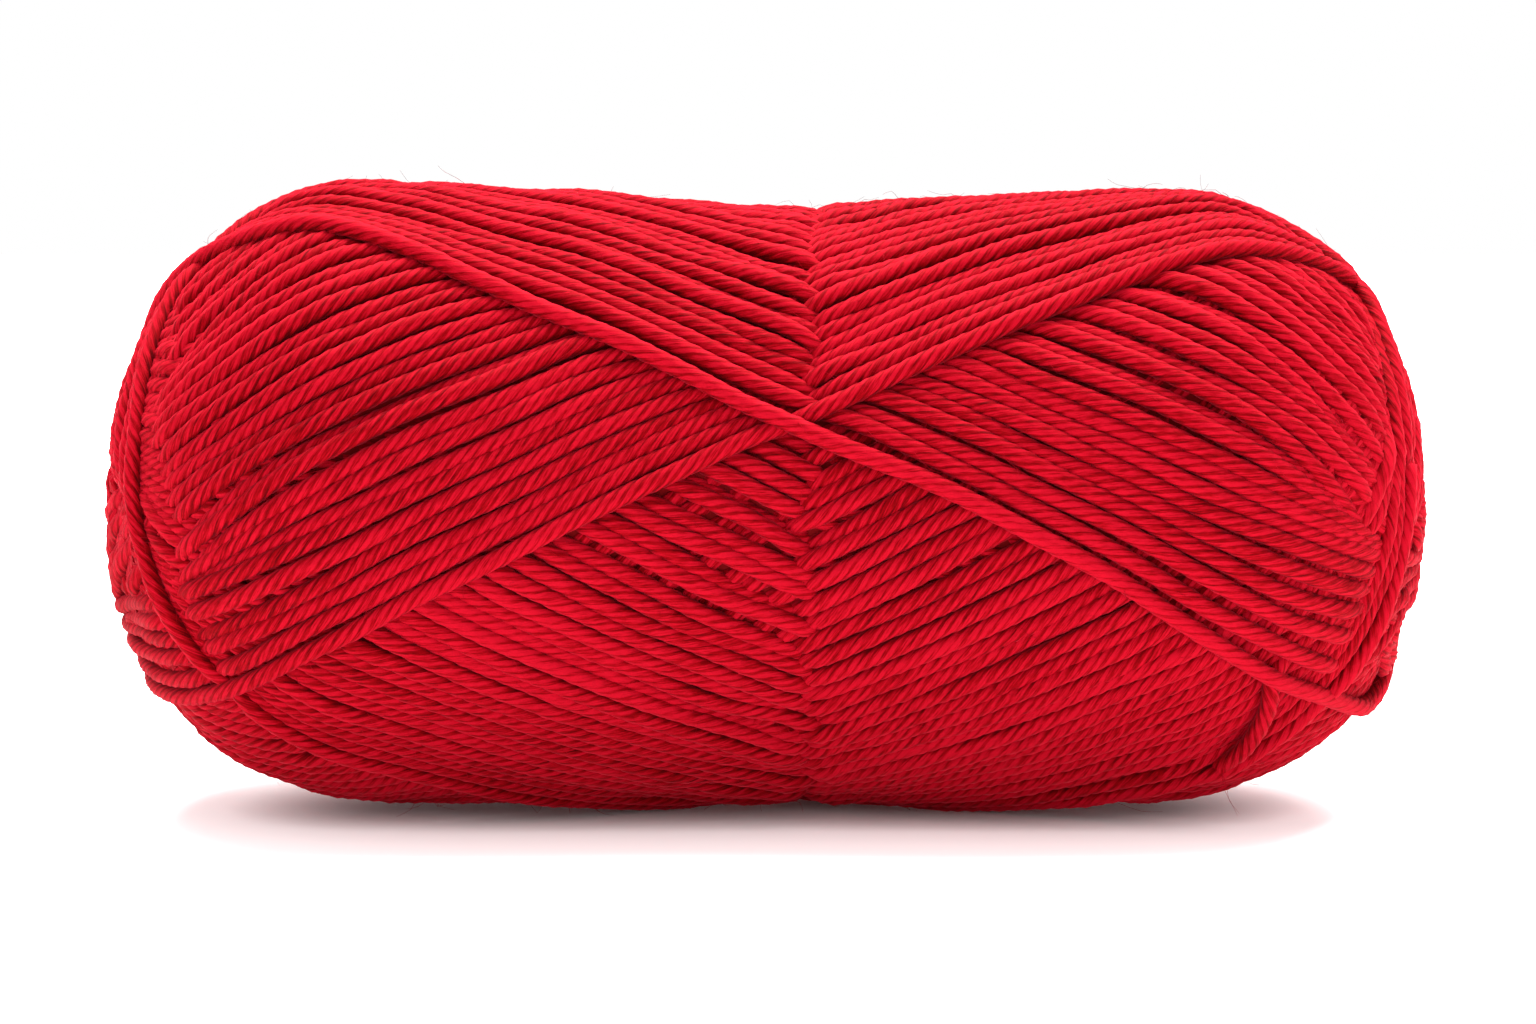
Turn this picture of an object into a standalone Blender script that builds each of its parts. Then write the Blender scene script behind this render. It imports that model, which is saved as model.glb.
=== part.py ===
"""A pull skein of plied yarn lying on its side, as one solid of its wound form.

Metres, +Z up. +X runs along the skein, -Y is the side seen in front, and the origin is
on the flat spot that the skein rests on, under the middle of its box.

Places on the skein are given by two numbers. "along" is the distance from the middle,
measured on the surface towards +X, as if the skein had its mean radius everywhere.
"turn" is the angle round the X axis, from the top over the front to the bottom.
"""

import math
from collections import namedtuple

import bmesh
import bpy
from mathutils import Matrix, Vector

MM = 0.001

# Wound body: a drawn-in barrel between two rounded ends
HALF_LENGTH = 65.2 * MM
MEAN_RADIUS = 29.4 * MM
SHOULDER_TOP = 40.0 * MM
SHOULDER_BOTTOM = 35.0 * MM
SHOULDER = (SHOULDER_TOP + SHOULDER_BOTTOM) / 2

# Each row is a section of the barrel; the bottom dips below zero where the flat spot is cut
Section = namedtuple("Section", "x top bottom half_depth")
BARREL = (
    Section(x=-36.0 * MM, top=60.7 * MM, bottom=-0.4 * MM, half_depth=31.9 * MM),
    Section(x=-20.0 * MM, top=59.8 * MM, bottom=-0.8 * MM, half_depth=31.5 * MM),
    Section(x=2.0 * MM, top=58.2 * MM, bottom=-0.4 * MM, half_depth=30.5 * MM),
    Section(x=24.0 * MM, top=59.5 * MM, bottom=-0.8 * MM, half_depth=31.2 * MM),
    Section(x=38.0 * MM, top=59.9 * MM, bottom=-0.4 * MM, half_depth=31.7 * MM),
)

# Winding: three starts, so each crossing of the skein repeats after a third of a turn
REPEAT = math.radians(120)
BARREL_TURN = math.radians(37)
END_TURN = REPEAT - BARREL_TURN
END_GAP = math.radians(24)
LAST_FALLING = math.radians(66)
LAST_RISING = math.radians(70.5)

# Relief of the main twists, cut inwards from the outline
BUNDLES_PER_REPEAT = 8
BUNDLE_DEPTH = 0.8 * MM
LAYER_STEP = 0.9 * MM
SEAM_DEPTH = 0.5 * MM
SEAM_WIDTH = 3.2 * MM
TWISTS_FROM = math.radians(28)
TWISTS_TO = math.radians(58)
DIMPLE_DEPTH = 2.5 * MM
DIMPLE_RADIUS = 4.5 * MM
PRESSED_BELOW = 2.5 * MM

# Mesh steps
STEPS_AROUND = 112
STEPS_ALONG = 50

YARN_RED = (0.47, 0.006, 0.012, 1.0)


def smooth(amount):
    """0 to 1 with level ends, for an amount that may lie outside them."""
    amount = min(max(amount, 0.0), 1.0)
    return amount * amount * (3 - 2 * amount)


def barrel_section(x):
    """Top, bottom and half depth of the barrel at x."""
    x = min(max(x, BARREL[0].x), BARREL[-1].x)
    for left, right in zip(BARREL, BARREL[1:]):
        if x <= right.x:
            break
    share = smooth((x - left.x) / (right.x - left.x))
    return [a + (b - a) * share for a, b in zip(left[1:], right[1:])]


def end_length():
    """Length on the surface from a shoulder to the pole of its end."""
    return math.pi / 4 * (MEAN_RADIUS + HALF_LENGTH - SHOULDER)


def polar_angle(along):
    """A right angle on the barrel, falling to nothing at the pole of an end."""
    past = max(abs(along) - SHOULDER, 0.0)
    return math.pi / 2 * max(1 - past / end_length(), 0.0)


def surface_point(along, turn):
    """The point of the smooth outline at this place."""
    low = (1 - math.cos(turn)) / 2
    shoulder = SHOULDER_TOP + (SHOULDER_BOTTOM - SHOULDER_TOP) * low
    polar = polar_angle(along)
    narrowing = math.sin(polar)
    x = min(abs(along) / SHOULDER, 1.0) * shoulder
    x = math.copysign(x + (HALF_LENGTH - shoulder) * math.cos(polar), along)
    top, bottom, half_depth = barrel_section(x)
    y = -half_depth * narrowing * math.sin(turn)
    z = (top + bottom) / 2 + (top - bottom) / 2 * narrowing * math.cos(turn)
    return Vector((x, y, z))


def strand_turn(along):
    """How far round a strand has gone between its farthest point at +X and this place."""
    if abs(along) <= SHOULDER:
        return REPEAT - BARREL_TURN * along / SHOULDER
    sweep = math.acos(min(math.cos(polar_angle(along)) / math.cos(END_GAP), 1.0))
    gone = math.atan2(math.sin(sweep), math.sin(END_GAP) * math.cos(sweep))
    gone *= END_TURN / (math.pi / 2)
    return gone if along > 0 else 2 * REPEAT - gone


def ages(along, turn):
    """How long ago, as an angle of shift, each family of strands was laid here."""
    rising = (LAST_RISING + strand_turn(along) - turn) % REPEAT
    falling = (LAST_FALLING - strand_turn(along) - turn) % REPEAT
    return rising, falling


def relief_depth(along, turn):
    """How far the wound surface lies inside the smooth outline."""
    rising, falling = ages(along, turn)
    bundle = min(rising, falling) * BUNDLES_PER_REPEAT / REPEAT
    twists = LAYER_STEP * ((rising + falling) / REPEAT - 1)
    twists += BUNDLE_DEPTH / 2 * (math.cos(2 * math.pi * bundle) - 1)
    twists *= smooth((polar_angle(along) - TWISTS_FROM) / (TWISTS_TO - TWISTS_FROM))
    seam = SEAM_DEPTH * math.exp(-((along / SEAM_WIDTH) ** 2))
    return LAYER_STEP + BUNDLE_DEPTH + twists + seam


def wound_point(along, turn):
    """The point of the wound surface, with its relief and the dimple in each end."""
    outline = surface_point(along, turn)
    unpressed = smooth(outline.z / PRESSED_BELOW)
    spine_x = min(max(outline.x, -SHOULDER_BOTTOM), SHOULDER_BOTTOM)
    inwards = (Vector((spine_x, 0, MEAN_RADIUS)) - outline).normalized()
    point = outline + inwards * relief_depth(along, turn) * unpressed
    to_pole = SHOULDER + end_length() - abs(along)
    dimple = DIMPLE_DEPTH * math.exp(-((to_pole / DIMPLE_RADIUS) ** 2))
    point.x -= math.copysign(dimple, along)
    return point


def shape_vertex(co):
    """Moves a vertex of the unit sphere, whose poles are on X, to its place on the skein."""
    reach = SHOULDER + end_length()
    along = reach * (1 - 2 * math.acos(min(max(co.x, -1.0), 1.0)) / math.pi)
    return wound_point(along, math.atan2(-co.y, co.z))


def cut_flat_spot(mesh):
    """Takes off what lies below z = 0 and closes the cut with a level face."""
    geometry = mesh.verts[:] + mesh.edges[:] + mesh.faces[:]
    bmesh.ops.bisect_plane(
        mesh, geom=geometry, dist=1e-6, plane_co=(0, 0, 0), plane_no=(0, 0, 1), clear_inner=True
    )
    rim = [edge for edge in mesh.edges if edge.is_boundary]
    bmesh.ops.holes_fill(mesh, edges=rim, sides=0)
    bmesh.ops.recalc_face_normals(mesh, faces=mesh.faces[:])


def centre_on_origin(mesh):
    """Puts the middle of the box over the origin, keeping the height."""
    for axis in (0, 1):
        places = [vertex.co[axis] for vertex in mesh.verts]
        middle = (min(places) + max(places)) / 2
        for vertex in mesh.verts:
            vertex.co[axis] -= middle


def yarn_material():
    material = bpy.data.materials.new("yarn")
    material.use_nodes = True
    shader = material.node_tree.nodes["Principled BSDF"]
    shader.inputs["Base Color"].default_value = YARN_RED
    shader.inputs["Roughness"].default_value = 0.75
    shader.inputs["Metallic"].default_value = 0.0
    material.diffuse_color = YARN_RED
    return material


def make_skein(collection):
    mesh = bmesh.new()
    bmesh.ops.create_uvsphere(
        mesh, u_segments=STEPS_AROUND, v_segments=STEPS_ALONG, radius=1.0
    )
    bmesh.ops.rotate(
        mesh, verts=mesh.verts, cent=(0, 0, 0), matrix=Matrix.Rotation(math.pi / 2, 3, "Y")
    )
    for vertex in mesh.verts:
        vertex.co = shape_vertex(vertex.co)
    cut_flat_spot(mesh)
    centre_on_origin(mesh)
    data = bpy.data.meshes.new("skein")
    mesh.to_mesh(data)
    mesh.free()
    data.shade_smooth()
    data.set_sharp_from_angle(angle=math.radians(50))
    data.materials.append(yarn_material())
    skein = bpy.data.objects.new("skein", data)
    collection.objects.link(skein)
    return skein


def main():
    for old in list(bpy.data.objects):
        bpy.data.objects.remove(old)
    collection = bpy.data.collections.new("yarn_skein")
    bpy.context.scene.collection.children.link(collection)
    make_skein(collection)


main()
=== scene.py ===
"""Looks of the pull skein: every visible stretch of yarn, wound turn by turn.

The winding works in millimetres and meshes are written in metres. A place on the skein
is "along", the distance from the middle measured on the surface towards +X, and "turn",
the angle round the X axis from the top over the front to the bottom.
"""

import math
from collections import namedtuple

import bpy
import numpy as np
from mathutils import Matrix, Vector


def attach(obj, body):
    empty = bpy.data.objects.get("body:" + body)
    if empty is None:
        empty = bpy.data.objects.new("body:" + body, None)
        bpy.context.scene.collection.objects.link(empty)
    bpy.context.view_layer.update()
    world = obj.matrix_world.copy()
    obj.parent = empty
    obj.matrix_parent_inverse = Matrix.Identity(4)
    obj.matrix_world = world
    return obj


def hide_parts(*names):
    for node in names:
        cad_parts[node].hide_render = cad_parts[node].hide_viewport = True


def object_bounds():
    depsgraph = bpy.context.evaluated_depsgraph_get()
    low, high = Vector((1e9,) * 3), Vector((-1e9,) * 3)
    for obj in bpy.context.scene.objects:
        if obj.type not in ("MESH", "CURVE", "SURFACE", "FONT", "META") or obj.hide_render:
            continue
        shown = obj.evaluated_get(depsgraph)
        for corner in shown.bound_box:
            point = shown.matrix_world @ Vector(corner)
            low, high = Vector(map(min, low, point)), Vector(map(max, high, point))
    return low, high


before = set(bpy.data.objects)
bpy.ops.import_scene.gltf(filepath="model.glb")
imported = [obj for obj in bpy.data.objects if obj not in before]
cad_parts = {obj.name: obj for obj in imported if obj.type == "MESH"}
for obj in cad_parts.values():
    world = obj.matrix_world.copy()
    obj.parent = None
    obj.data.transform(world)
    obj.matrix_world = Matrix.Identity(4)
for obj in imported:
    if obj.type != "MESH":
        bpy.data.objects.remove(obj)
cad_low, cad_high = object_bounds()

MM = 0.001
TAU = 2 * math.pi
dice = np.random.default_rng(11)

# Outline of the skein, as the solid has it
HALF_LENGTH = 65.2
MEAN_RADIUS = 29.4
SHOULDER_TOP = 40.0
SHOULDER_BOTTOM = 35.0
SHOULDER = (SHOULDER_TOP + SHOULDER_BOTTOM) / 2
END_LENGTH = math.pi / 4 * (MEAN_RADIUS + HALF_LENGTH - SHOULDER)
REACH = SHOULDER + END_LENGTH
Section = namedtuple("Section", "x top bottom half_depth")
BARREL = (
    Section(x=-36.0, top=60.7, bottom=-0.4, half_depth=31.9),
    Section(x=-20.0, top=59.8, bottom=-0.8, half_depth=31.5),
    Section(x=2.0, top=58.2, bottom=-0.4, half_depth=30.5),
    Section(x=24.0, top=59.5, bottom=-0.8, half_depth=31.2),
    Section(x=38.0, top=59.9, bottom=-0.4, half_depth=31.7),
)

# Winding: three starts, the last turns crossing on the front
REPEAT = math.radians(120)
BARREL_TURN = math.radians(37)
END_TURN = REPEAT - BARREL_TURN
LAST_FALLING = math.radians(64.6)
FALLING_LAG = math.radians(7.9)
LAST_APART = math.radians(1.4)
LAST_APART_OVER = 20
SHIFT_NEW = math.radians(3.5)
SHIFT_OLD = math.radians(4.1)
SWEEPS_WOUND = 1.7

# Where in a turn of the flyer the falling pass starts to lag, and where that ends
LAG_FROM, LAG_OVER = 0.42, 0.16
LAG_BACK_FROM, LAG_BACK_OVER = 0.92, 0.08

# Gaps between the turns and the pole of an end, wider for the last ones seen in front
GAP_LEAST = math.radians(6)
GAP_MEAN = math.radians(24)
GAP_MOST = math.radians(36)
GAP_LAST_LEAST = math.radians(28)
GAP_LAST_MOST = math.radians(40)
GAP_STEP = math.radians(6.75)
GAP_LOOK = 0.5
GROUND_DOUBT = 0.06
LAST_TURNS = 9
LAST_TURNS_FADE = 12

# Sag of the last turns in front, which grows towards a shoulder and ends at the pole
SAG_RIGHT = math.radians(18)
SAG_LEFT = math.radians(6.7)
SAG_SHARES = (1.0, 0.74, 0.52, 0.32, 0.15)
SAG_FROM, SAG_OVER, SAG_POWER = 15, 41, 2.8
SAG_POLE_FROM, SAG_POLE_OVER = 0.45, 0.35

# Sway of each turn beside its course: length between knots, and size
SWAY_LONG, SWAY_LONG_SIZE = 30, 0.2
SWAY_SHORT, SWAY_SHORT_SIZE = 9, 0.1
SWAY_MIDDLE, SWAY_MIDDLE_REACH = 1.5, 9
SWAY_FADE = 8

# Yarn
STRAND_RADIUS = 0.86
CONTACT_RADIUS = 0.76
PLIES = 6
TWIST_PITCH = 8.6
LOBE_DEPTH = 0.055
RING_STEP = 0.9
TIP_LENGTH = 0.3
PIECE_TRIANGLES = 180_000
STRAY_FIBRES = 1700
FIBRE_RADIUS = 0.02
FIBRE_LENGTH = (1.5, 5.0)
FIBRE_LIFT = (0.1, 0.9)
FIBRE_WAVE = 0.22

# The slack loop of the last turn, and the yarn end tucked under it
LOOP_FROM = 54.0
LOOP_EASE = 16
LOOP = (
    (55.0, -12.7, 11.2),
    (56.4, -9.0, 11.0),
    (57.8, -5.5, 12.2),
    (58.8, -2.0, 14.4),
    (59.5, 1.5, 17.2),
    (59.5, 5.5, 21.0),
    (57.0, 9.0, 24.0),
)
TAIL_FROM = (46.8, 14.9)
TAIL_TO = (42.4, 5.1)
TAIL_LIFT = 0.45
TAIL_BOW = 1.2
TAIL_SAMPLES = 70

# Height map on which the turns are laid
ROWS, COLUMNS = 640, 720
ROW_CELL = 2 * REACH / (ROWS - 1)
COLUMN_CELL = TAU * MEAN_RADIUS / COLUMNS
LAY_STEP = 0.22
BRIDGE = 1.3
JOIN = 12
LEVEL_BLUR = 5.0
RELIEF_BLUR = 1.1
RELIEF_LIMIT = 1.1
LOOSE_SAMPLES = 40

# Which stretches of a turn are meshed, and how deep they lie
SEEN_WIDEN = 0.4
SEEN_BLUR = 1.2
SEEN_SHARE = 0.15
DIVE = 1.5
RUN_LEAST = 1.0
RISE_BLUR = 0.8
HEIGHT_SQUASH = 0.8
END_SQUASH = 0.75
END_RISE = 1.4
END_SHARE_GAIN = 1.6
FLAT_POLAR = math.radians(50)
POLE_RISE_LESS = 0.8
CREST_DEPTH = 1.6
END_CREST_DEPTH = -0.3
POLE_DEPTH = 3.2
CORNER_DEPTH = 1.95
CORNER_DEPTH_ODDS = -0.25

# The skin under the turns, with a hollow in each end
CORE_DEPTH = 2.9
HOLE_DEPTH = 5.0
HOLE_RADIUS = 4.0
CORE_ROWS, CORE_COLUMNS = 120, 150

# Colours, and what the yarn's shade is made of: fibre grain, patches and tint, with painted shade
# in the ply furrows and on the strand flanks and painted highlights on the ply crests
YARN_DARK = (0.064, 0.0, 0.0006, 1.0)
YARN_RED = (0.212, 0.0, 0.002, 1.0)
YARN_LIGHT = (0.395, 0.0025, 0.012, 1.0)
RAMP_DARK, RAMP_RED, RAMP_LIGHT = 0.25, 0.62, 25 / 26
# The skin under the turns takes darker reds than the yarn: painted shade for the gaps between
# turns
CORE_SHADE_DARK = (0.12, 0.0006, 0.0015, 1.0)
CORE_SHADE_RED = (0.16, 0.0006, 0.002, 1.0)
FLOOR_DARK = (0.84, 0.84, 0.84, 1.0)
FLOOR_LIGHT = (0.88, 0.88, 0.88, 1.0)
FLOOR_GLOW = 0.4
FLOOR_SIZE = 0.8
GRAIN_ACROSS, GRAIN_ALONG, UNEVEN_ALONG = 5.5, 0.75, 0.45
PLY_PAINTED_SHADE_SHARE, GRAIN_SHARE, GRAIN_LESS, PATCH_SHARE, TINT_SHARE = 0.62, 1.7, 0.42, 0.35, 0.05

# Camera, set from the photo's frame
CAMERA_ELEVATION = math.radians(6)
CAMERA_DISTANCE = 0.62
SENSOR_WIDTH = 36.0
IMAGE_WIDTH = 1536
PHOTO_PIXELS_PER_MM = 10.552
PHOTO_CENTRE_BELOW = 17.5
PHOTO_CENTRE_RIGHT = 2.5


def smooth(amount):
    """0 to 1 with level ends, for an amount that may lie outside them."""
    amount = np.clip(amount, 0.0, 1.0)
    return amount * amount * (3 - 2 * amount)


def barrel_section(x):
    """Top, bottom and half depth of the barrel at each x."""
    x = np.clip(x, BARREL[0].x, BARREL[-1].x)
    rows = np.array(BARREL)
    at = np.clip(np.searchsorted(rows[:, 0], x) - 1, 0, len(rows) - 2)
    share = smooth((x - rows[at, 0]) / (rows[at + 1, 0] - rows[at, 0]))
    return [rows[at, c] + (rows[at + 1, c] - rows[at, c]) * share for c in (1, 2, 3)]


def polar_angle(along):
    """A right angle on the barrel, falling to nothing at the pole of an end."""
    past = np.maximum(np.abs(along) - SHOULDER, 0.0)
    return math.pi / 2 * np.maximum(1 - past / END_LENGTH, 0.0)


def outline(along, turn):
    """Points of the smooth outline."""
    low = (1 - np.cos(turn)) / 2
    shoulder = SHOULDER_TOP + (SHOULDER_BOTTOM - SHOULDER_TOP) * low
    polar = polar_angle(along)
    x = np.minimum(np.abs(along) / SHOULDER, 1.0) * shoulder
    x = np.sign(along) * (x + (HALF_LENGTH - shoulder) * np.cos(polar))
    top, bottom, half_depth = barrel_section(x)
    y = -half_depth * np.sin(polar) * np.sin(turn)
    z = (top + bottom) / 2 + (top - bottom) / 2 * np.sin(polar) * np.cos(turn)
    return np.stack([x, y, z], axis=-1)


def end_depth(points, along):
    """The share of the end shape, the strands' extra depth and how far they may stand out."""
    past = np.abs(points[..., 0]) - SHOULDER
    end_share = smooth(past / (HALF_LENGTH - SHOULDER) * END_SHARE_GAIN)
    flat_share = 1 - smooth(polar_angle(along) / FLAT_POLAR)
    corner_depth = CORNER_DEPTH + CORNER_DEPTH_ODDS * np.sign(along)
    corner_depth = corner_depth * np.clip(points[..., 2] / MEAN_RADIUS - 1, 0, 1)
    rise_most = END_RISE - POLE_RISE_LESS * flat_share
    depth = (END_CREST_DEPTH + corner_depth) * end_share + POLE_DEPTH * flat_share
    return end_share, depth, rise_most


def unit(vectors):
    return vectors / np.maximum(np.linalg.norm(vectors, axis=-1, keepdims=True), 1e-9)


def outward(along, turn):
    """Unit normals of the outline."""
    step = 0.2
    ahead = outline(along + step, turn) - outline(along - step, turn)
    angle = step / MEAN_RADIUS
    aside = outline(along, turn + angle) - outline(along, turn - angle)
    normal = np.cross(aside, ahead)
    spine = np.stack(
        [
            np.clip(outline(along, turn)[..., 0], -SHOULDER, SHOULDER),
            np.zeros_like(along),
            np.full_like(along, MEAN_RADIUS),
        ],
        axis=-1,
    )
    away = outline(along, turn) - spine
    flip = np.sign(np.sum(normal * away, axis=-1, keepdims=True))
    return unit(normal * flip + 1e-6 * away)


def end_pass(gap, sweep):
    """Along and turn from the farthest place at an end, by the angle swept round the end."""
    polar = np.arccos(math.cos(GAP_MEAN) * np.cos(sweep))
    polar = polar + (gap - GAP_MEAN) * np.cos(sweep) ** 2
    along = SHOULDER + END_LENGTH * (1 - polar / (math.pi / 2))
    gone = np.arctan2(np.sin(sweep), math.sin(GAP_MEAN) * np.cos(sweep))
    return along, gone * END_TURN / (math.pi / 2)


def sag(along, falling, number):
    """How far the last turns on the front hang below their course near the shoulders."""
    family = 0 if falling else 1
    if number % 3 != family or number // 3 >= len(SAG_SHARES):
        return 0.0
    share = SAG_SHARES[number // 3]
    side, size = (1, SAG_RIGHT) if falling else (-1, SAG_LEFT)
    growing = np.clip((side * along - SAG_FROM) / SAG_OVER, 0, 1) ** SAG_POWER
    from_pole = smooth((polar_angle(along) - SAG_POLE_FROM) / SAG_POLE_OVER)
    hanging = share * size * growing * from_pole
    if number == 0:
        hanging += LAST_APART * smooth((along + SHOULDER) / LAST_APART_OVER)
    return hanging


def flyer_turn(start, drift, gaps, number):
    """Along and turn of one full turn of the flyer: a rising pass and a falling one."""
    quarter = np.linspace(0, math.pi / 2, 90)
    (near, near_gone), (far, far_gone), (back, back_gone) = (
        end_pass(gap, quarter) for gap in gaps
    )
    barrel = np.linspace(SHOULDER, -SHOULDER, 80)[1:-1]
    across = REPEAT - BARREL_TURN * barrel / SHOULDER
    rising = np.concatenate([near, barrel, -far[::-1]])
    falling = np.concatenate([-far[1:], barrel[::-1], back[::-1]])
    gone = np.concatenate([near_gone, across, 2 * REPEAT - far_gone[::-1]])
    gone += sag(rising, False, number)
    fallen = [2 * REPEAT + far_gone[1:], 4 * REPEAT - across[::-1], 4 * REPEAT - back_gone[::-1]]
    fallen = np.concatenate(fallen) + sag(falling, True, number)
    gone = np.concatenate([gone, fallen])
    # The falling pass lags, eased in round the far end and out before the turn is over
    phase = np.linspace(0, 1, len(gone))
    lag = smooth((phase - LAG_FROM) / LAG_OVER)
    lag -= smooth((phase - LAG_BACK_FROM) / LAG_BACK_OVER)
    turn = start + gone + drift * phase - FALLING_LAG * lag
    return np.concatenate([rising, falling]), turn


def evenly(along, turn, step):
    """The same path with a point every step of its length."""
    points = outline(along, turn)
    run = np.concatenate([[0], np.cumsum(np.linalg.norm(np.diff(points, axis=0), axis=1))])
    places = np.arange(0, run[-1], step)
    return np.interp(places, run, along), np.interp(places, run, turn)


def wander(count, length, size):
    """Smooth noise along a path: knots every length samples, joined softly."""
    knots = dice.normal(0, size, max(int(count / length), 1) + 4)
    places = np.arange(count) / length + 1
    low = places.astype(int)
    share = smooth(places - low)
    return knots[low] * (1 - share) + knots[low + 1] * share


def blur(values, width, axis, wrap):
    """Gaussian blur of a map along one axis; width in cells."""
    reach = int(3 * width)
    weights = np.exp(-0.5 * (np.arange(-reach, reach + 1) / width) ** 2)
    weights /= weights.sum()
    mode = "wrap" if wrap else "edge"
    pad = [(0, 0)] * values.ndim
    pad[axis] = (reach, reach)
    padded = np.pad(values, pad, mode=mode)
    return np.apply_along_axis(lambda line: np.convolve(line, weights, "valid"), axis, padded)


def widest(values, reach):
    """Running maximum."""
    best = values.copy()
    for step in range(1, reach + 1):
        best[step:] = np.maximum(best[step:], values[:-step])
        best[:-step] = np.maximum(best[:-step], values[step:])
    return best


class Winding:
    """The height map and the turns laid on it, oldest first."""

    def __init__(self):
        self.height = np.zeros((ROWS, COLUMNS))
        self.sunk = np.zeros((ROWS, COLUMNS))
        self.owner = np.full((ROWS, COLUMNS), -1)
        self.turns = []
        # Height at which the last turn stopped, where the next one goes on
        self.tip = None
        rows = np.fft.fftfreq(ROWS, ROW_CELL)[:, None]
        columns = np.fft.rfftfreq(COLUMNS, COLUMN_CELL)[None, :]
        squares = rows**2 + columns**2
        self.slow = np.exp(-2 * (math.pi * LEVEL_BLUR) ** 2 * squares)
        self.near = np.exp(-2 * (math.pi * RELIEF_BLUR) ** 2 * squares)

    def cells(self, along, turn):
        row = np.clip(np.rint((along + REACH) / ROW_CELL).astype(int), 0, ROWS - 1)
        column = np.rint(turn * COLUMNS / TAU).astype(int) % COLUMNS
        return row, column

    def beside(self, along, turn):
        """Steps in along and turn for one millimetre sideways."""
        radius = MEAN_RADIUS * np.maximum(np.sin(polar_angle(along)), 0.05)
        d_along = np.gradient(along)
        d_round = np.gradient(turn) * radius
        size = np.maximum(np.hypot(d_along, d_round), 1e-9)
        return -d_round / size, d_along / size / radius

    def lay(self, along, turn, loose=False):
        """Lays one turn on what is already there and raises the map under it."""
        side_along, side_turn = self.beside(along, turn)
        rest = np.full(len(along), -1e9)
        for offset in np.linspace(-0.75, 0.75, 7) * CONTACT_RADIUS:
            row, column = self.cells(along + offset * side_along, turn + offset * side_turn)
            lift = math.sqrt(CONTACT_RADIUS**2 - offset**2)
            rest = np.maximum(rest, self.height[row, column] + lift)
        centre = blur(widest(rest, int(BRIDGE / LAY_STEP)), BRIDGE / LAY_STEP, 0, False)
        row, column = self.cells(along, turn)
        sunk = self.sunk[row, column]
        if self.tip is not None and not loose:
            fade = 1 - smooth(np.arange(len(along)) * LAY_STEP / JOIN)
            centre += (self.tip - sunk[0] - centre[0]) * fade
        for offset in np.linspace(-1, 1, 11) * CONTACT_RADIUS:
            row, column = self.cells(along + offset * side_along, turn + offset * side_turn)
            top = centre + math.sqrt(max(CONTACT_RADIUS**2 - offset**2, 0.0))
            np.maximum.at(self.height, (row, column), top)
            wins = top >= self.height[row, column]
            self.owner[row[wins], column[wins]] = len(self.turns)
        self.turns.append((along, turn, centre + sunk, loose))
        if not loose:
            self.tip = centre[-1] + sunk[-1]

    def settle(self):
        """Lets the wound surface sink where turns pile up, so that only near relief stays."""
        sink = np.fft.irfft2(np.fft.rfft2(self.height) * self.slow, self.height.shape)
        for _ in range(2):
            relief = self.height - sink
            excess = relief - RELIEF_LIMIT * np.tanh(relief / RELIEF_LIMIT)
            sink += np.fft.irfft2(np.fft.rfft2(excess) * self.near, self.height.shape)
        self.height -= sink
        self.sunk += sink

    def roomiest(self, side, middle, neighbour, wide):
        """The gap to the pole, near the neighbour's, where a turn finds the lowest ground."""
        sweep = np.linspace(-GAP_LOOK, GAP_LOOK, 45)
        choices = neighbour + GAP_STEP * np.array([-1.0, -0.5, 0.0, 0.5, 1.0])
        least = GAP_LEAST + (GAP_LAST_LEAST - GAP_LEAST) * wide
        most = GAP_MOST + (GAP_LAST_MOST - GAP_MOST) * wide
        choices = np.clip(choices, least, most)
        ground = []
        for gap in choices:
            along, gone = end_pass(gap, sweep)
            row, column = self.cells(side * along, middle + gone)
            ground.append(self.height[row, column].mean() + dice.normal(0, GROUND_DOUBT))
        return float(choices[int(np.argmin(ground))])

    def seen(self, number, along, turn):
        """Which samples of a turn lie on top somewhere across the strand."""
        side_along, side_turn = self.beside(along, turn)
        found = np.zeros(len(along))
        for offset in (-0.6, -0.3, 0.0, 0.3, 0.6):
            offset *= CONTACT_RADIUS
            row, column = self.cells(along + offset * side_along, turn + offset * side_turn)
            found += self.owner[row, column] == number
        return found > 0


def place_at(x, z):
    """Along and turn of the place on the lower front that shows at this x and z."""
    along = np.linspace(20, 70, 201)[:, None]
    turn = np.linspace(math.pi / 2, math.pi, 181)[None, :]
    along, turn = np.broadcast_arrays(along, turn)
    points = outline(along, turn)
    best = np.argmin((points[..., 0] - x) ** 2 + (points[..., 2] - z) ** 2)
    return along.flat[best], turn.flat[best]


def lay_tail(winding):
    """The end of the yarn, which the last turn holds down."""
    (along_a, turn_a), (along_b, turn_b) = place_at(*TAIL_FROM), place_at(*TAIL_TO)
    share = np.linspace(0, 1, TAIL_SAMPLES)
    bow = TAIL_BOW * np.sin(math.pi * share)
    winding.lay(
        along_a + (along_b - along_a) * share + bow, turn_a + (turn_b - turn_a) * share, True
    )


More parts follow.
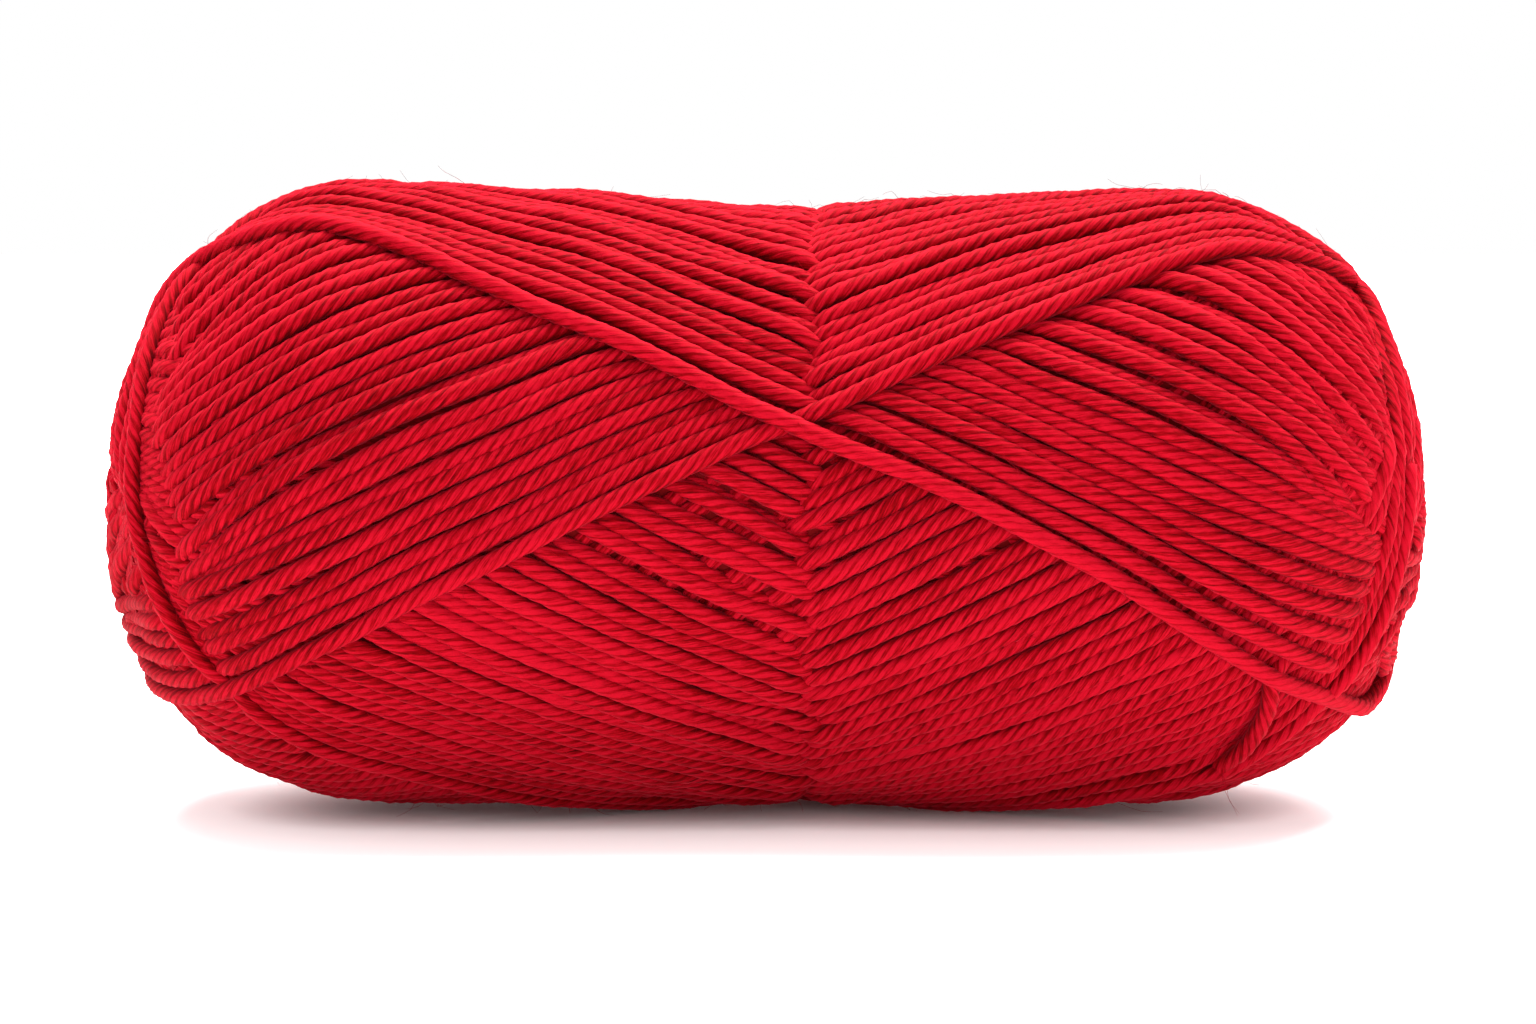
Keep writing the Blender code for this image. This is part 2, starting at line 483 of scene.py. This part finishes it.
def wind():
    """Lays every turn from the oldest to the last one, which falls across the front."""
    winding = Winding()
    starts = []
    start = LAST_FALLING - 3 * REPEAT + FALLING_LAG - 0.75 * SHIFT_NEW / 3
    age = 0.0
    while age < SWEEPS_WOUND * REPEAT:
        drift = (SHIFT_NEW + (SHIFT_OLD - SHIFT_NEW) * float(smooth(age / REPEAT * 3 - 1))) / 3
        starts.append((start, drift))
        age += drift
        start -= 4 * REPEAT + drift
    far_gaps, back_gaps = [GAP_MEAN] * 3, [GAP_MEAN] * 3
    for number in reversed(range(len(starts))):
        start, drift = starts[number]
        newness = 1 - smooth((number - LAST_TURNS) / LAST_TURNS_FADE)
        far_middle = start + 2 * REPEAT + drift / 2
        wide = newness if number % 3 == 2 else 0
        far_gaps.append(winding.roomiest(-1, far_middle, far_gaps[-3], wide))
        back_middle = start + 4 * REPEAT + drift
        wide = newness if number % 3 == 1 else 0
        back_gaps.append(winding.roomiest(1, back_middle, back_gaps[-3], wide))
        gaps = (back_gaps[-2], far_gaps[-1], back_gaps[-1])
        path = flyer_turn(start, drift, gaps, number)
        along, turn = evenly(*path, LAY_STEP)
        count = len(along)
        shaky = wander(count, SWAY_LONG / LAY_STEP, SWAY_LONG_SIZE)
        near_middle = np.exp(-((along / SWAY_MIDDLE_REACH) ** 2))
        short = wander(count, SWAY_SHORT / LAY_STEP, SWAY_SHORT_SIZE)
        shaky += short * (1 + SWAY_MIDDLE * near_middle)
        to_end = np.minimum(np.arange(count), np.arange(count)[::-1]) * LAY_STEP
        shaky *= smooth(to_end / SWAY_FADE)
        side_along, side_turn = winding.beside(along, turn)
        if number == 0:
            lay_tail(winding)
        winding.lay(along + shaky * side_along, turn + shaky * side_turn)
        winding.settle()
    return winding


def curve_through(knots, step):
    """Smooth line through the knots, with a point about every step."""
    ends = 2 * knots[0] - knots[1], 2 * knots[-1] - knots[-2]
    padded = np.concatenate([ends[0][None, :], knots, ends[1][None, :]])
    parts = []
    for before, a, b, after in zip(padded, padded[1:], padded[2:], padded[3:]):
        count = max(int(np.linalg.norm(b - a) / step), 2)
        t = np.linspace(0, 1, count, endpoint=False)[:, None]
        bend = (2 * before - 5 * a + 4 * b - after) * t**2
        bend += (3 * a - before - 3 * b + after) * t**3
        parts.append(0.5 * (2 * a + (b - before) * t + bend))
    parts.append(knots[-1:])
    return np.concatenate(parts)


def away_from_spine(points):
    spine = points.copy()
    spine[:, 0] = np.clip(spine[:, 0], -SHOULDER, SHOULDER)
    spine[:, 1] = 0
    spine[:, 2] = MEAN_RADIUS
    return unit(points - spine)


def slack_loop(points, normals, along):
    """Lets the last turn hang free where it leaves the lower right corner."""
    falling = np.flatnonzero(along > LOOP_FROM)
    falling = falling[falling > len(along) // 2][0]
    leaving = points[falling - LOOP_EASE : falling : LOOP_EASE - 1]
    knots = np.concatenate([leaving, np.array(LOOP)])
    loop = curve_through(knots, LAY_STEP)
    kept = falling - LOOP_EASE
    points = np.concatenate([points[:kept], loop])
    return points, np.concatenate([normals[:kept], away_from_spine(loop)])


def visible_runs(winding):
    """Centre lines, in millimetres, of every stretch of yarn that shows."""
    points, normals, shown, rises, alongs = [], [], [], [], []
    for number, (along, turn, centre, loose) in enumerate(winding.turns):
        row, column = winding.cells(along, turn)
        found = winding.seen(number, along, turn)
        rise = centre - winding.sunk[row, column]
        if loose:
            rise = rise + TAIL_LIFT
            along, turn, rise = (
                np.pad(values, LOOSE_SAMPLES, mode="edge") for values in (along, turn, rise)
            )
            found = np.pad(found, LOOSE_SAMPLES)
        rises.append(rise)
        alongs.append(along)
        points.append(outline(along, turn))
        normals.append(outward(along, turn))
        shown.append(found)
    lengths = [len(part) for part in points]
    rise = blur(np.concatenate(rises), RISE_BLUR / LAY_STEP, 0, False)
    points, normals = np.concatenate(points), np.concatenate(normals)
    end_share, extra, rise_most = end_depth(points, np.concatenate(alongs))
    squash = HEIGHT_SQUASH + (END_SQUASH - HEIGHT_SQUASH) * end_share
    rise += end_share * (rise_most * np.tanh(rise / rise_most) - rise)
    points = points + normals * (squash * rise - CREST_DEPTH - extra)[:, None]
    shown = widest(np.concatenate(shown).astype(float), int(SEEN_WIDEN / LAY_STEP))
    shown = blur(shown, SEEN_BLUR / LAY_STEP, 0, False) > SEEN_SHARE
    shown = widest(shown.astype(float), int(DIVE / LAY_STEP)) > 0
    last = lengths[-1]
    end_points, end_normals = slack_loop(points[-last:], normals[-last:], winding.turns[-1][0])
    points = np.concatenate([points[:-last], end_points])
    normals = np.concatenate([normals[:-last], end_normals])
    shown = np.concatenate([shown[:-last], np.full(len(end_points), True)])
    edges = np.flatnonzero(np.diff(np.concatenate([[0], shown.astype(int), [0]])))
    runs = []
    for first, after in zip(edges[::2], edges[1::2]):
        if (after - first) * LAY_STEP > 2 * DIVE + RUN_LEAST:
            runs.append((points[first:after], normals[first:after]))
    return runs


def respace(points, normals, step):
    """The same line with a point about every step, both ends kept."""
    lengths = np.linalg.norm(np.diff(points, axis=0), axis=1)
    run = np.concatenate([[0], np.cumsum(lengths)])
    places = np.linspace(0, run[-1], max(int(run[-1] / step), 3) + 1)
    line, up = (
        np.stack([np.interp(places, run, column) for column in values.T], axis=-1)
        for values in (points, normals)
    )
    return line, unit(up), places


class YarnMesh:
    """Collects twisted strands and writes them as joined meshes."""

    def __init__(self, sides=2 * PLIES, lobes=LOBE_DEPTH):
        self.sides, self.lobes = sides, lobes
        self.points, self.faces, self.uvs, self.tints, self.painted_shade_facing = [], [], [], [], []
        self.count = 0

    def add(self, line, up, places, radius=STRAND_RADIUS, fine=False):
        tangent = unit(np.gradient(line, axis=0))
        up = unit(up - tangent * np.sum(up * tangent, axis=1, keepdims=True))
        side = np.cross(tangent, up)
        rings = len(line)
        phase = dice.uniform(0, TAU)
        pitch = TWIST_PITCH * dice.uniform(0.93, 1.07)
        twist = phase - TAU * places / pitch
        corner = TAU * np.arange(self.sides) / self.sides
        angle = twist[:, None] + corner[None, :]
        peak = np.where(np.arange(self.sides) % 2 == 0, self.lobes, -self.lobes)
        swell = radius * (1 + wander(rings, 9, 0.03))
        size = swell[:, None] * (1 + peak[None, :])
        if fine:
            size *= np.linspace(1.2, 0.5, rings)[:, None]
        ring = (
            line[:, None, :]
            + up[:, None, :] * (np.cos(angle) * size)[..., None]
            + side[:, None, :] * (np.sin(angle) * size)[..., None]
        )
        index = self.count + np.arange(rings * self.sides).reshape(rings, self.sides)
        after = np.roll(index, -1, axis=1)
        quads = np.stack([index[:-1], index[1:], after[1:], after[:-1]], axis=-1)
        along_uv = places + dice.uniform(0, 500)
        turn_uv = np.arange(self.sides + 1) / self.sides
        u = np.stack([along_uv[:-1], along_uv[1:], along_uv[1:], along_uv[:-1]], axis=-1)
        v = np.stack([turn_uv[:-1], turn_uv[:-1], turn_uv[1:], turn_uv[1:]], axis=-1)
        uv = np.stack(
            [
                np.repeat(u[:, None, :], self.sides, axis=1),
                np.repeat(v[None, :, :], rings - 1, axis=0),
            ],
            axis=-1,
        )
        self.points.append(ring.reshape(-1, 3))
        self.count += rings * self.sides
        self.faces.append(quads.reshape(-1, 4))
        self.uvs.append(uv.reshape(-1, 4, 2))
        self.tints.append(np.full(rings * self.sides, dice.normal(0, 1)))
        # How far each point faces outward, for the painted shade on the flanks
        self.painted_shade_facing.append(np.cos(angle).ravel() if not fine else np.ones(rings * self.sides))
        first_tip = line[0] - tangent[0] * TIP_LENGTH * radius
        last_tip = line[-1] + tangent[-1] * TIP_LENGTH * radius
        self.close_end(index[0][::-1], first_tip, along_uv[0])
        self.close_end(index[-1], last_tip, along_uv[-1])

    def close_end(self, rim, tip, along_uv):
        """A shallow cone over an end. Its triangles repeat a corner, which write() drops."""
        self.points.append(tip[None, :])
        self.tints.append(self.tints[-1][:1])
        self.painted_shade_facing.append(np.zeros(1))
        tip_index = np.full(len(rim), self.count)
        self.count += 1
        triangles = np.stack([rim, np.roll(rim, -1), tip_index, tip_index], axis=-1)
        self.faces.append(triangles)
        turn_uv = np.arange(len(rim)) / len(rim)
        u = np.full((len(rim), 4), along_uv)
        v = np.stack([turn_uv, turn_uv + 1 / len(rim), turn_uv, turn_uv], axis=-1)
        self.uvs.append(np.stack([u, v], axis=-1))

    def write(self, name, material):
        points = np.concatenate(self.points) * MM
        points[:, 2] = np.maximum(points[:, 2], 0.0)
        faces = np.concatenate(self.faces)
        uvs = np.concatenate(self.uvs)
        corners = np.where(faces[:, 2] == faces[:, 3], 3, 4)
        keep = np.arange(4)[None, :] < corners[:, None]
        data = bpy.data.meshes.new(name)
        data.vertices.add(len(points))
        data.vertices.foreach_set("co", points.astype(np.float32).ravel())
        loops = faces[keep]
        data.loops.add(len(loops))
        data.loops.foreach_set("vertex_index", loops.astype(np.int32))
        data.polygons.add(len(faces))
        starts = np.concatenate([[0], np.cumsum(corners)[:-1]])
        data.polygons.foreach_set("loop_start", starts.astype(np.int32))
        layer = data.uv_layers.new(name="yarn")
        layer.data.foreach_set("uv", uvs[keep].astype(np.float32).ravel())
        # The top attribute carries how far each point faces outward, for the painted flank shade
        for label, parts in (("tint", self.tints), ("top", self.painted_shade_facing)):
            values = data.attributes.new(label, "FLOAT", "POINT")
            values.data.foreach_set("value", np.concatenate(parts).astype(np.float32))
        data.update(calc_edges=True)
        data.validate()
        data.shade_smooth()
        data.materials.append(material)
        piece = bpy.data.objects.new(name, data)
        bpy.context.scene.collection.objects.link(piece)
        return piece


class Nodes:
    """Short calls for building a node tree."""

    def __init__(self, material):
        self.tree = material.node_tree
        self.tree.nodes.clear()

    def add(self, kind, settings=None, **inputs):
        node = self.tree.nodes.new(kind)
        for name, value in (settings or {}).items():
            setattr(node, name, value)
        for name, value in inputs.items():
            socket = node.inputs[int(name[1:]) if name[1:].isdigit() else name.replace("_", " ")]
            if isinstance(value, bpy.types.NodeSocket):
                self.tree.links.new(value, socket)
            else:
                socket.default_value = value
        return node

    def math(self, operation, a, b=0.0):
        node = self.add("ShaderNodeMath", {"operation": operation}, _0=a, _1=b)
        return node.outputs[0]


def yarn_material():
    material = bpy.data.materials.new("yarn")
    material.use_nodes = True
    nodes = Nodes(material)
    uv = nodes.add("ShaderNodeUVMap", {"uv_map": "yarn"})
    split = nodes.add("ShaderNodeSeparateXYZ", _0=uv.outputs[0])
    length, around = split.outputs[0], split.outputs[1]
    angle = nodes.math("MULTIPLY", around, TAU)
    # Fibres: fine grain drawn out along each ply
    across_a = nodes.math("MULTIPLY", nodes.math("COSINE", angle), GRAIN_ACROSS)
    across_b = nodes.math("MULTIPLY", nodes.math("SINE", angle), GRAIN_ACROSS)
    drawn = nodes.math("MULTIPLY", length, GRAIN_ALONG)
    grain_at = nodes.add("ShaderNodeCombineXYZ", _0=drawn, _1=across_a, _2=across_b)
    grain = nodes.add(
        "ShaderNodeTexNoise", Vector=grain_at.outputs[0], Scale=1.0, Detail=4.0, Roughness=0.6
    )
    # Plies: painted shade in the furrows and painted highlights on the crests
    ply = nodes.math("COSINE", nodes.math("MULTIPLY", angle, float(PLIES)))
    crest = nodes.add(
        "ShaderNodeMapRange", {"interpolation_type": "SMOOTHSTEP"}, Value=ply, From_Min=-1.0,
        From_Max=0.5, To_Min=0.0, To_Max=1.0,
    )
    stretched = nodes.math("MULTIPLY", length, UNEVEN_ALONG)
    uneven_at = nodes.add("ShaderNodeCombineXYZ", _0=stretched, _1=across_a, _2=across_b)
    uneven = nodes.add("ShaderNodeTexNoise", Vector=uneven_at.outputs[0], Scale=0.35, Detail=1.0)
    tint = nodes.add("ShaderNodeAttribute", {"attribute_name": "tint"})
    place = nodes.add("ShaderNodeTexCoord")
    patches = nodes.add(
        "ShaderNodeTexNoise", Vector=place.outputs["Object"], Scale=60.0, Detail=2.0
    )
    # Painted shade and highlight of the plies, uneven along the strand
    shade = nodes.math("MULTIPLY", crest.outputs[0], uneven.outputs[0])
    shade = nodes.math("MULTIPLY", shade, PLY_PAINTED_SHADE_SHARE)
    streaks = nodes.math("MULTIPLY_ADD", grain.outputs[0], GRAIN_SHARE)
    streaks.node.inputs[2].default_value = -GRAIN_LESS
    shade = nodes.math("ADD", shade, streaks)
    patched = nodes.math("MULTIPLY", patches.outputs[0], PATCH_SHARE)
    shade = nodes.math("ADD", shade, patched)
    tinted = nodes.math("MULTIPLY", tint.outputs["Fac"], TINT_SHARE)
    shade = nodes.math("ADD", shade, tinted)
    # Flanks: painted shade where a strand turns down towards its neighbours, read from how far
    # each point faces outward
    top = nodes.add("ShaderNodeAttribute", {"attribute_name": "top"})
    painted_flank_shade = nodes.add(
        "ShaderNodeMapRange", {"interpolation_type": "SMOOTHSTEP"}, Value=top.outputs["Fac"],
        From_Min=-0.3, From_Max=0.85, To_Min=-0.42, To_Max=0.0,
    )
    shade = nodes.math("ADD", shade, painted_flank_shade.outputs[0])
    ramp = nodes.add("ShaderNodeValToRGB", _0=shade)
    stops = ramp.color_ramp.elements
    stops[0].position, stops[0].color = RAMP_DARK, YARN_DARK
    stops[1].position, stops[1].color = RAMP_LIGHT, YARN_LIGHT
    middle = stops.new(RAMP_RED)
    middle.color = YARN_RED
    relief = nodes.math("ADD", grain.outputs[0], nodes.math("MULTIPLY", crest.outputs[0], 0.5))
    bump = nodes.add("ShaderNodeBump", Height=relief, Strength=0.55, Distance=0.12 * MM)
    shader = nodes.add(
        "ShaderNodeBsdfPrincipled",
        Base_Color=ramp.outputs[0],
        Normal=bump.outputs[0],
        Roughness=0.7,
        Specular_IOR_Level=0.02,
        Sheen_Weight=0.22,
        Sheen_Roughness=0.5,
        Sheen_Tint=(1.0, 0.05, 0.09, 1.0),
    )
    nodes.add("ShaderNodeOutputMaterial", _0=shader.outputs[0])
    return material


def core_material():
    # Darker reds than the yarn, as painted shade where the skin shows between the turns
    material = bpy.data.materials.new("yarn_shade")
    material.use_nodes = True
    nodes = Nodes(material)
    place = nodes.add("ShaderNodeTexCoord")
    patches = nodes.add(
        "ShaderNodeTexNoise", Vector=place.outputs["Object"], Scale=900.0, Detail=3.0
    )
    ramp = nodes.add("ShaderNodeValToRGB", _0=patches.outputs[0])
    ramp.color_ramp.elements[0].color = CORE_SHADE_DARK
    ramp.color_ramp.elements[1].color = CORE_SHADE_RED
    bump = nodes.add("ShaderNodeBump", Height=patches.outputs[0], Strength=0.6, Distance=0.3 * MM)
    shader = nodes.add(
        "ShaderNodeBsdfPrincipled",
        Base_Color=ramp.outputs[0],
        Normal=bump.outputs[0],
        Roughness=0.9,
        Specular_IOR_Level=0.1,
    )
    nodes.add("ShaderNodeOutputMaterial", _0=shader.outputs[0])
    return material


def make_core(material):
    """The older turns under the visible ones, as one closed skin."""
    along = np.linspace(-REACH, REACH, CORE_ROWS + 2)[1:-1]
    turn = np.arange(CORE_COLUMNS) * TAU / CORE_COLUMNS
    along_map, turn_map = np.meshgrid(along, turn, indexing="ij")
    points = outline(along_map, turn_map)
    depth = CORE_DEPTH + end_depth(points, along_map)[1]
    points -= depth[..., None] * outward(along_map, turn_map)
    to_pole = REACH - np.abs(along_map)
    points[..., 0] -= np.sign(along_map) * HOLE_DEPTH * np.exp(-((to_pole / HOLE_RADIUS) ** 2))
    index = np.arange(points[..., 0].size).reshape(along_map.shape)
    after = np.roll(index, -1, axis=1)
    quads = np.stack([index[:-1], after[:-1], after[1:], index[1:]], axis=-1).reshape(-1, 4)
    verts = points.reshape(-1, 3) * MM
    faces = [tuple(int(k) for k in quad) for quad in quads]
    faces += [tuple(int(k) for k in index[0][::-1]), tuple(int(k) for k in index[-1])]
    data = bpy.data.meshes.new("skein_core")
    data.from_pydata(verts.tolist(), [], faces)
    data.validate()
    data.shade_smooth()
    data.materials.append(material)
    core = bpy.data.objects.new("skein_core", data)
    bpy.context.scene.collection.objects.link(core)
    return core


def make_fibres(runs, material):
    """Fine fibres that stand off the yarn."""
    lengths = np.array([len(points) for points, _ in runs])
    picks = dice.choice(len(runs), STRAY_FIBRES, p=lengths / lengths.sum())
    fibres = YarnMesh(sides=3, lobes=0.0)
    for pick in picks:
        points, normals = runs[pick]
        at = int(dice.integers(2, len(points) - 2))
        up = normals[at]
        ahead = unit(points[at + 2] - points[at - 2])
        side = np.cross(ahead, up)
        lean = dice.normal(0, 0.7)
        root = points[at] + STRAND_RADIUS * 0.92 * unit(up + side * dice.normal(0, 0.5))
        heading = unit(ahead * dice.choice([-1, 1]) + side * lean)
        span = dice.uniform(*FIBRE_LENGTH)
        lift = dice.uniform(*FIBRE_LIFT)
        knots = [root - 0.3 * up]
        for share in (0.35, 0.7, 1.0):
            wave = dice.normal(0, FIBRE_WAVE * span * share, 3)
            knots.append(root + heading * span * share + up * lift * share**0.8 + 0.5 * wave)
        line = curve_through(np.array(knots), span / 5)
        run = np.concatenate([[0], np.cumsum(np.linalg.norm(np.diff(line, axis=0), axis=1))])
        fibres.add(line, np.tile(up, (len(line), 1)), run, FIBRE_RADIUS, fine=True)
    return fibres.write("stray_fibres", material)


def make_strands(material):
    runs = visible_runs(wind())
    pieces = []
    batch = YarnMesh()
    for points, normals in runs:
        batch.add(*respace(points, normals, RING_STEP))
        if 2 * batch.count > PIECE_TRIANGLES:
            pieces.append(batch.write(f"yarn_turns_{len(pieces) + 1}", material))
            batch = YarnMesh()
    if batch.points:
        pieces.append(batch.write(f"yarn_turns_{len(pieces) + 1}", material))
    pieces.append(make_fibres(runs, material))
    return pieces


def make_floor():
    data = bpy.data.meshes.new("floor")
    signs = ((-1, -1), (1, -1), (1, 1), (-1, 1))
    corners = [(x * FLOOR_SIZE, y * FLOOR_SIZE, 0) for x, y in signs]
    data.from_pydata(corners, [], [(0, 1, 2, 3)])
    material = bpy.data.materials.new("pale_floor")
    material.use_nodes = True
    nodes = Nodes(material)
    place = nodes.add("ShaderNodeTexCoord")
    speckle = nodes.add("ShaderNodeTexNoise", Vector=place.outputs["Object"], Scale=40.0)
    ramp = nodes.add("ShaderNodeValToRGB", _0=speckle.outputs[0])
    ramp.color_ramp.elements[0].color = FLOOR_DARK
    ramp.color_ramp.elements[1].color = FLOOR_LIGHT
    # Lifts the open part of the shadow, so that only the contact stays dark
    openness = nodes.add("ShaderNodeAmbientOcclusion", Distance=5 * MM)
    shader = nodes.add(
        "ShaderNodeBsdfPrincipled",
        Base_Color=ramp.outputs[0],
        Roughness=0.8,
        Emission_Color=(1.0, 0.965, 0.97, 1.0),
        Emission_Strength=nodes.math("MULTIPLY", openness.outputs["AO"], FLOOR_GLOW),
    )
    nodes.add("ShaderNodeOutputMaterial", _0=shader.outputs[0])
    data.materials.append(material)
    floor = bpy.data.objects.new("floor", data)
    bpy.context.scene.collection.objects.link(floor)


def aim(thing, place, target):
    thing.location = place
    thing.rotation_euler = (Vector(target) - Vector(place)).to_track_quat("-Z", "Y").to_euler()


def make_light(name, place, target, size, power):
    data = bpy.data.lights.new(name, "AREA")
    data.shape = "RECTANGLE"
    data.size, data.size_y = size
    data.energy = power
    light = bpy.data.objects.new(name, data)
    bpy.context.scene.collection.objects.link(light)
    aim(light, place, target)


def make_lights():
    world = bpy.data.worlds.new("studio")
    world.use_nodes = True
    background = world.node_tree.nodes["Background"]
    background.inputs["Color"].default_value = (1.0, 1.0, 1.0, 1.0)
    background.inputs["Strength"].default_value = 1.0
    bpy.context.scene.world = world
    make_light("key", (-0.25, -0.45, 1.1), (0, 0, 0.03), (0.9, 0.7), 2.0)
    make_light("top", (0.1, 0.38, 1.2), (0, 0, 0.03), (1.2, 0.8), 60.0)


def make_camera():
    data = bpy.data.cameras.new("camera")
    data.sensor_width = SENSOR_WIDTH
    seen_width = IMAGE_WIDTH / PHOTO_PIXELS_PER_MM * MM
    data.lens = SENSOR_WIDTH * CAMERA_DISTANCE / seen_width
    camera = bpy.data.objects.new("camera", data)
    bpy.context.scene.collection.objects.link(camera)
    down = PHOTO_CENTRE_BELOW / PHOTO_PIXELS_PER_MM * MM
    right = PHOTO_CENTRE_RIGHT / PHOTO_PIXELS_PER_MM * MM
    target = Vector((right, 0, (cad_low.z + cad_high.z) / 2 - down))
    back = Vector((0, -math.cos(CAMERA_ELEVATION), math.sin(CAMERA_ELEVATION)))
    aim(camera, target + back * CAMERA_DISTANCE, target)
    bpy.context.scene.camera = camera


def main():
    bpy.context.scene.view_settings.view_transform = "Standard"
    yarn = yarn_material()
    pieces = make_strands(yarn)
    pieces.append(make_core(core_material()))
    for piece in pieces:
        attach(piece, "root")
        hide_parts("skein")
    triangles = [len(piece.data.loops) - 2 * len(piece.data.polygons) for piece in pieces]
    print("pieces", len(pieces), "triangles", sum(triangles), "largest", max(triangles))
    make_floor()
    make_lights()
    make_camera()


main()
